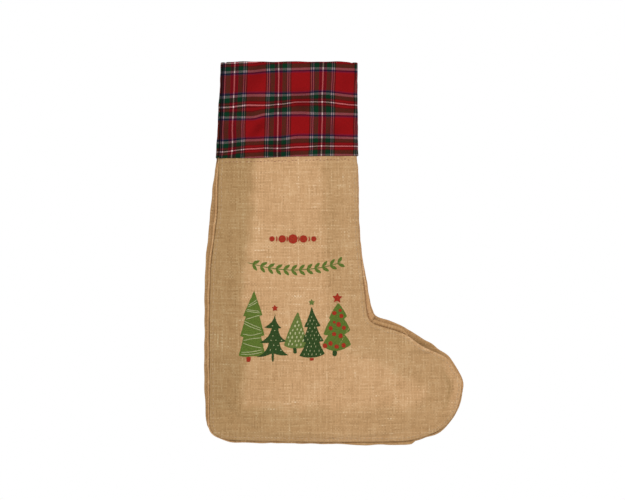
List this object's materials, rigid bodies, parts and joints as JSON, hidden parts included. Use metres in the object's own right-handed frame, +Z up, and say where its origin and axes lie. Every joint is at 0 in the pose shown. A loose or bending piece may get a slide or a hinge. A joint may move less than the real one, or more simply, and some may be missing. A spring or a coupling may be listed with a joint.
{
  "type": "hanging stocking",
  "caption": "Boot-shaped burlap gift stocking with a printed front, a bellows side gusset that opens, a tartan cuff and a tape hanging loop.",
  "frame": {"origin": "on the top edge of the back cuff, at its outer face, where the hanging loop is sewn on at the heel side: the point the stocking hangs from", "axes": "+Z up with the stocking hanging, +X towards the toe, the printed front faces -Y"},
  "size_m": [0.3062, 0.0252, 0.4504],
  "materials": {
    "burlap": "open plain-weave jute, matt",
    "burlap_gusset": "open plain-weave jute, matt",
    "tartan": "woven tartan check in red, dark green, navy and off-white",
    "jute_thread": "twisted sewing thread, matt",
    "cuff_thread": "reddish brown sewing thread",
    "tape": "cotton twill tape, matt",
    "mid_green_ink": "screen print ink on cloth, matt",
    "dark_green_ink": "screen print ink on cloth, matt",
    "light_green_ink": "screen print ink on cloth, matt",
    "red_ink": "screen print ink on cloth, matt",
    "cream_ink": "screen print ink on cloth, matt"
  },
  "bodies": {
    "back_shell": {"back_panel": "burlap", "cuff_back": "tartan", "heel_gusset": "burlap_gusset", "instep_gusset": "burlap_gusset", "cuff_gusset_heel": "tartan", "cuff_gusset_shin": "tartan", "back_seam_thread": "jute_thread", "toe_join_thread": "jute_thread", "cuff_thread_back": "cuff_thread", "loop_ends": "tape", "loop_bartacks": "jute_thread"},
    "front_shell": {"front_panel": "burlap", "cuff_front": "tartan", "front_seam_thread": "jute_thread", "cuff_thread_front": "cuff_thread", "print_mid_green": "mid_green_ink", "print_dark_green": "dark_green_ink", "print_light_green": "light_green_ink", "print_red": "red_ink", "print_cream": "cream_ink"},
    "loop": {"hang_loop": "tape"}
  },
  "joints": [
    {"name": "front_spread", "type": "slide", "parent": "back_shell", "child": "front_shell", "axis": [0, -1, 0], "range_m": [0, 0.045], "deforming": ["heel_gusset", "instep_gusset", "cuff_gusset_heel", "cuff_gusset_shin"]},
    {"name": "loop_swing", "type": "hinge", "parent": "back_shell", "child": "loop", "pos_m": [0, 0.0016, 0], "axis": [1, 0, 0], "range_deg": [0, 180]}
  ]
}
